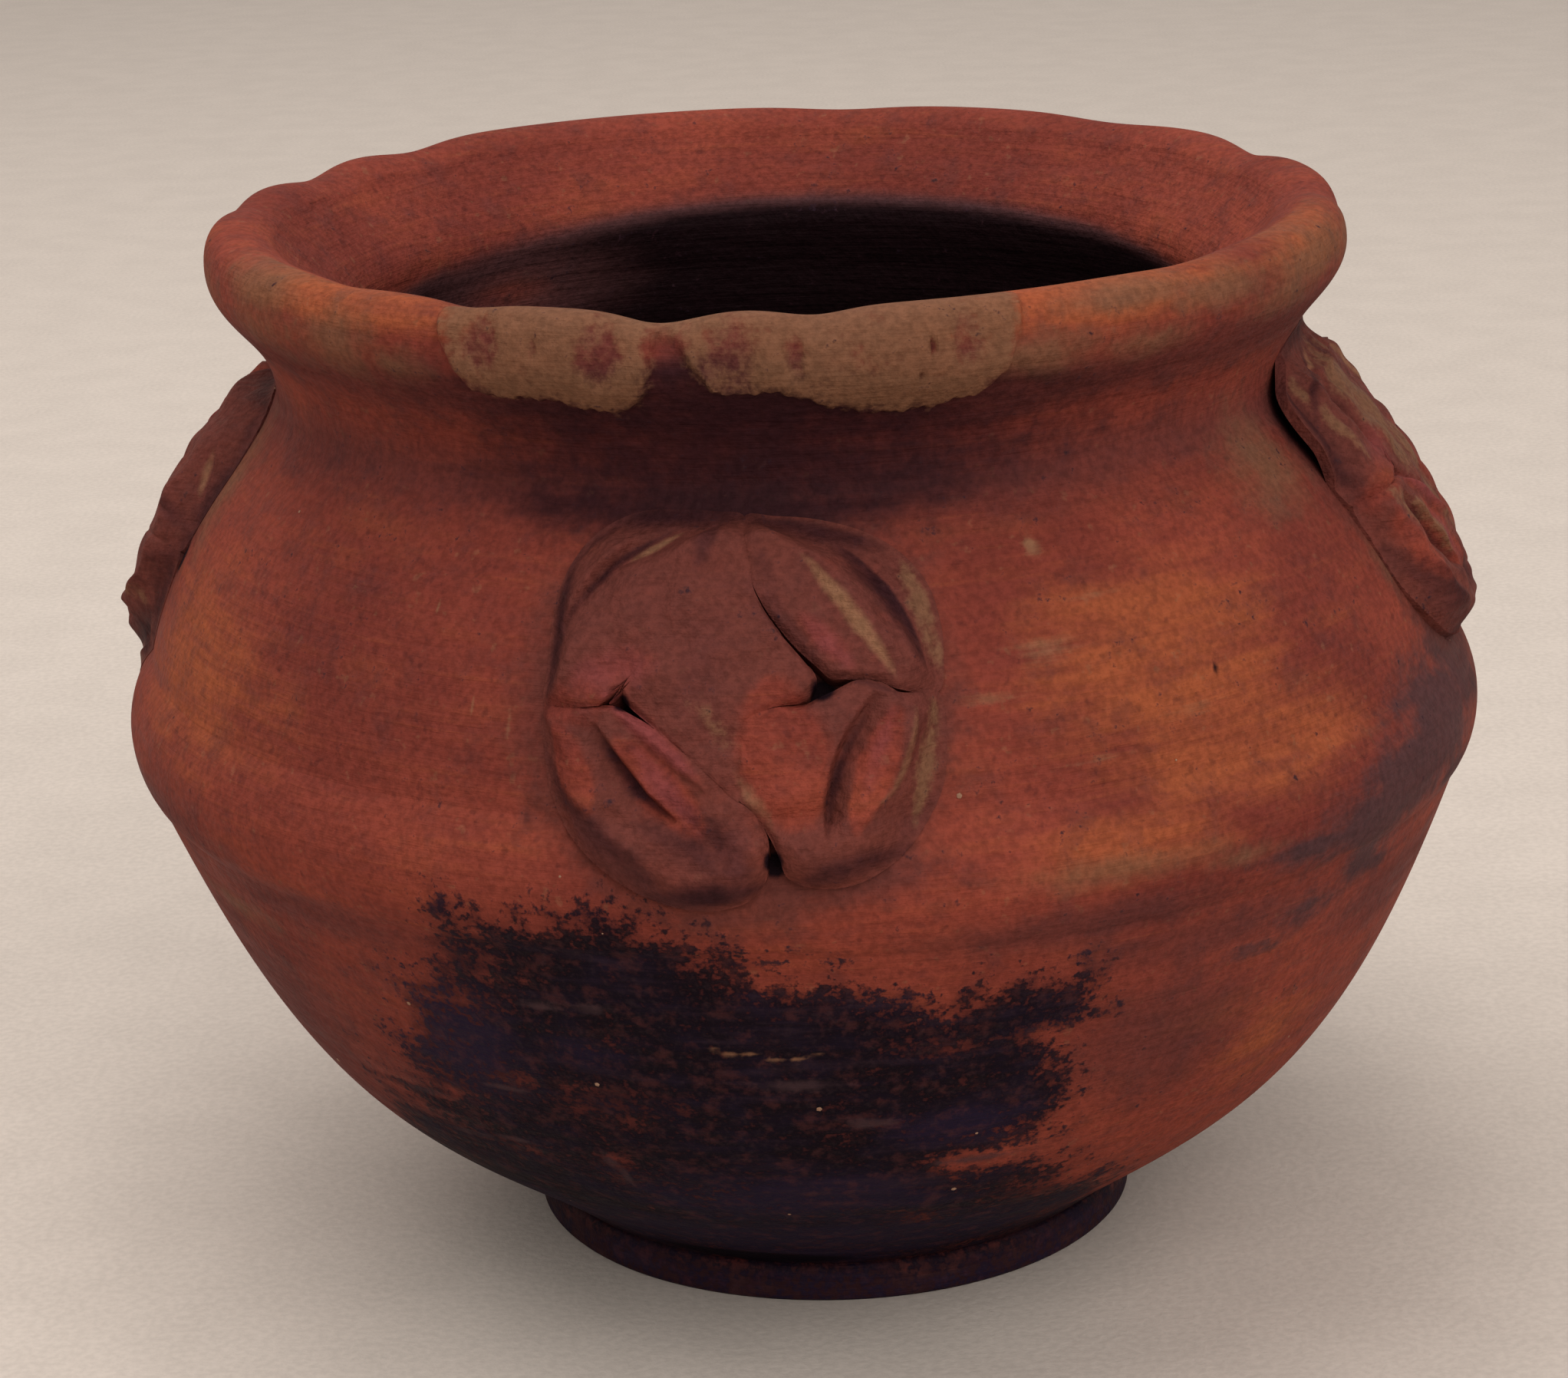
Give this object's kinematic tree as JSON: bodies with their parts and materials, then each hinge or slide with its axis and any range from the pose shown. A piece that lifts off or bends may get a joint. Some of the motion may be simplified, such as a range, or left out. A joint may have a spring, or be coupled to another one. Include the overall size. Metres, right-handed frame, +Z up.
{
  "type": "pottery bowl",
  "caption": "Small hand-built earthenware bowl with a foot pad, a ridged belly, a flared rolled lip and applied rosettes of slit clay pellets round the shoulder.",
  "frame": {"origin": "on the flat resting face under the foot, straight below the middle of the widest ring", "axes": "+Z up out of the mouth, -Y towards the front rosette, +X towards the right rosette"},
  "size_m": [0.1726, 0.1755, 0.1322],
  "materials": {
    "fired_clay": "matte",
    "sooted_clay": "matte",
    "worn_lip": "matte",
    "pellet_clay": "matte"
  },
  "bodies": {
    "root": {"foot_pad": "sooted_clay", "base_slab": "fired_clay", "lower_coil": "fired_clay", "middle_coil": "fired_clay", "ridge_coil": "fired_clay", "shoulder_coil": "fired_clay", "neck_collar": "fired_clay", "rim_lip": "worn_lip", "pellet_front_broad": "pellet_clay", "pellet_front_small": "pellet_clay", "pellet_front_full": "pellet_clay", "pellet_front_slim": "pellet_clay", "pellet_right_broad": "pellet_clay", "pellet_right_small": "pellet_clay", "pellet_right_full": "pellet_clay", "pellet_right_slim": "pellet_clay", "pellet_back_broad": "pellet_clay", "pellet_back_small": "pellet_clay", "pellet_back_full": "pellet_clay", "pellet_back_slim": "pellet_clay", "pellet_left_broad": "pellet_clay", "pellet_left_small": "pellet_clay", "pellet_left_full": "pellet_clay", "pellet_left_slim": "pellet_clay"}
  },
  "joints": []
}
